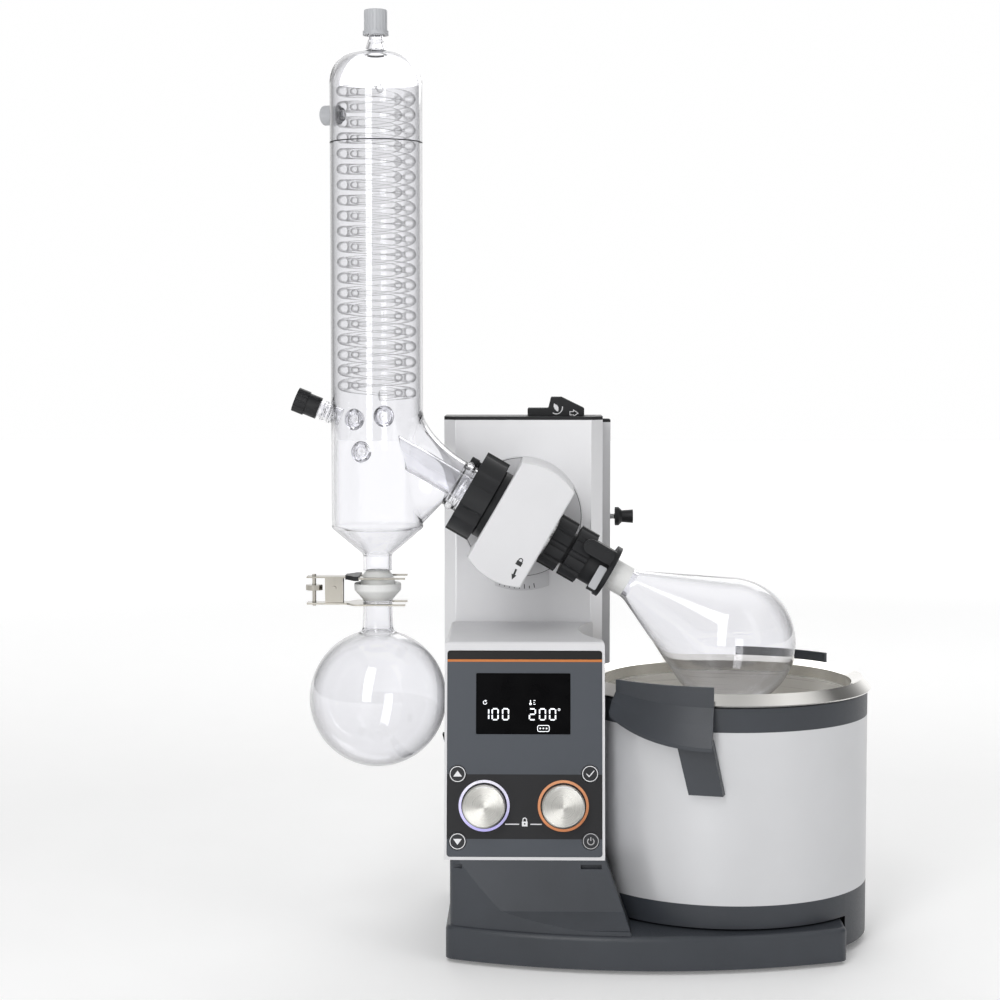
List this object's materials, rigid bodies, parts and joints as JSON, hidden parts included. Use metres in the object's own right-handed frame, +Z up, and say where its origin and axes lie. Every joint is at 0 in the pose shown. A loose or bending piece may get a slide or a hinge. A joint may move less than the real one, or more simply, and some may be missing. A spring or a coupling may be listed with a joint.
{
  "type": "rotary evaporator",
  "caption": "Bench rotary evaporator: tilted rotating flask over a sliding heating bath, lift tower with panel, vertical coil condenser and receiving flask.",
  "frame": {"origin": "on the bench, below the middle of the whole apparatus at rest", "axes": "+X to the right of the control panel, +Y to the back, +Z up"},
  "size_m": [0.5812, 0.3318, 0.922],
  "materials": {
    "dark_plastic": "fine-grained moulded",
    "white_coat": "satin powder coat",
    "plate_steel": "zinc plated",
    "foot_rubber": "matte",
    "panel_grey": "printed film",
    "display_black": "glossy window",
    "board_green": "solder mask",
    "ring_white": "lit translucent ring",
    "ring_orange": "lit translucent ring",
    "black_plastic": "fine-grained moulded",
    "button_grey": "printed film",
    "knob_metal": "spun",
    "bright_steel": "ground",
    "cast_aluminium": "machined",
    "belt_rubber": "matte",
    "seal_white": "smooth",
    "clear_glass": "clear, ground at the joints",
    "cap_grey": "smooth moulded",
    "clamp_nickel": "polished nickel",
    "pan_steel": "satin with a polished rim",
    "bath_silver": "satin silver"
  },
  "bodies": {
    "base": {"base_housing": "dark_plastic", "base_plate": "plate_steel", "rubber_feet": "foot_rubber", "pedestal": "dark_plastic", "control_housing": "white_coat", "control_panel": "panel_grey", "display_window": "display_black", "control_board": "board_green", "speed_light_ring": "ring_white", "heat_light_ring": "ring_orange", "mains_inlet": "black_plastic", "rear_column": "white_coat", "rear_column_cap": "black_plastic", "guide_rods": "bright_steel", "lift_actuator": "cast_aluminium"},
    "carriage": {"lift_cover": "white_coat", "lift_cap": "black_plastic", "pivot_disc": "white_coat", "carriage_block": "cast_aluminium", "actuator_rod": "bright_steel"},
    "tilt_lock": {"tilt_lock": "black_plastic"},
    "depth_stop": {"depth_stop": "black_plastic"},
    "head": {"head_housing": "white_coat", "head_flange": "black_plastic", "head_bearings": "bright_steel", "drive_motor": "cast_aluminium", "drive_belt": "belt_rubber", "vapour_seal": "seal_white", "condenser_jacket": "clear_glass", "outer_coil": "clear_glass", "inner_coil": "clear_glass", "top_cap": "cap_grey", "vent_cap": "cap_grey", "hose_nipples": "clear_glass", "receiving_flask": "clear_glass", "clamp_upper": "clamp_nickel", "clamp_lower": "clamp_nickel"},
    "clamp_screw": {"clamp_screw": "clamp_nickel"},
    "condenser_nut": {"condenser_nut": "black_plastic"},
    "feed_cap": {"feed_cap": "black_plastic"},
    "rotor": {"rotor_hub": "bright_steel", "vapour_tube": "clear_glass", "coupling_nut": "black_plastic", "clip_body": "black_plastic", "evaporating_flask": "clear_glass"},
    "clip_ring": {"clip_ring": "black_plastic"},
    "motor_pulley": {"motor_pulley": "cast_aluminium"},
    "bath": {"bath_pan": "pan_steel", "bath_heater": "cast_aluminium", "bath_band": "dark_plastic", "bath_shell": "bath_silver", "bath_foot": "dark_plastic", "bath_handles": "dark_plastic"},
    "speed_knob": {"speed_knob": "knob_metal"},
    "heat_knob": {"heat_knob": "knob_metal"},
    "button_up": {"button_up": "button_grey"},
    "button_set": {"button_set": "button_grey"},
    "button_down": {"button_down": "button_grey"},
    "button_power": {"button_power": "button_grey"},
    "power_switch": {"power_switch": "black_plastic"}
  },
  "joints": [
    {"name": "lift", "type": "slide", "parent": "base", "child": "carriage", "axis": [0, 0, 1], "range_m": [0, 0.155]},
    {"name": "tilt", "type": "hinge", "parent": "carriage", "child": "head", "pos_m": [-0.06, 0, 0.415], "axis": [0, 1, 0], "range_deg": [0, 10]},
    {"name": "tilt_lock_slide", "type": "slide", "parent": "carriage", "child": "tilt_lock", "axis": [1, 0, 0], "range_m": [0, 0.012]},
    {"name": "depth_stop_turn", "type": "hinge", "parent": "base", "child": "depth_stop", "pos_m": [0.0335, 0.152, 0.409], "axis": [1, 0, 0], "range_deg": [0, 360]},
    {"name": "bath_slide", "type": "slide", "parent": "base", "child": "bath", "axis": [1, 0, 0], "range_m": [0, 0.025]},
    {"name": "spin", "type": "hinge", "parent": "head", "child": "rotor", "pos_m": [-0.06, 0, 0.415], "axis": [0.866, 0, -0.5], "continuous": true},
    {"name": "motor_spin", "type": "hinge", "parent": "head", "child": "motor_pulley", "pos_m": [-0.07875, 0, 0.38252], "axis": [0.866, 0, -0.5], "continuous": true},
    {"name": "clip_turn", "type": "hinge", "parent": "rotor", "child": "clip_ring", "pos_m": [-0.06, 0, 0.415], "axis": [0.866, 0, -0.5], "range_deg": [0, 60]},
    {"name": "condenser_nut_turn", "type": "hinge", "parent": "head", "child": "condenser_nut", "pos_m": [-0.06, 0, 0.415], "axis": [0.866, 0, -0.5], "range_deg": [0, 90]},
    {"name": "feed_cap_turn", "type": "hinge", "parent": "head", "child": "feed_cap", "pos_m": [-0.2045, 0, 0.5046], "axis": [-0.9272, 0, 0.3746], "range_deg": [0, 360]},
    {"name": "clamp_screw_turn", "type": "hinge", "parent": "head", "child": "clamp_screw", "pos_m": [-0.2685, 0, 0.348], "axis": [0, 0, 1], "range_deg": [0, 360]},
    {"name": "speed_knob_turn", "type": "hinge", "parent": "base", "child": "speed_knob", "pos_m": [-0.09455, -0.11775, 0.15096], "axis": [0, -0.9888, 0.1495], "continuous": true},
    {"name": "heat_knob_turn", "type": "hinge", "parent": "base", "child": "heat_knob", "pos_m": [-0.01875, -0.11775, 0.15096], "axis": [0, -0.9888, 0.1495], "continuous": true},
    {"name": "button_up_press", "type": "slide", "parent": "base", "child": "button_up", "axis": [0, 0.9888, -0.1495], "range_m": [0, 0.001], "stiffness_N_per_m": 600, "springref_m": -0.0005},
    {"name": "button_set_press", "type": "slide", "parent": "base", "child": "button_set", "axis": [0, 0.9888, -0.1495], "range_m": [0, 0.001], "stiffness_N_per_m": 600, "springref_m": -0.0005},
    {"name": "button_down_press", "type": "slide", "parent": "base", "child": "button_down", "axis": [0, 0.9888, -0.1495], "range_m": [0, 0.001], "stiffness_N_per_m": 600, "springref_m": -0.0005},
    {"name": "button_power_press", "type": "slide", "parent": "base", "child": "button_power", "axis": [0, 0.9888, -0.1495], "range_m": [0, 0.001], "stiffness_N_per_m": 600, "springref_m": -0.0005},
    {"name": "power_switch_rock", "type": "hinge", "parent": "base", "child": "power_switch", "pos_m": [-0.1299, -0.075, 0.205], "axis": [0, 1, 0], "range_deg": [0, 12]}
  ],
  "couplings": [
    {"joint": "motor_spin", "follows": "spin", "ratio": 2.6667}
  ]
}
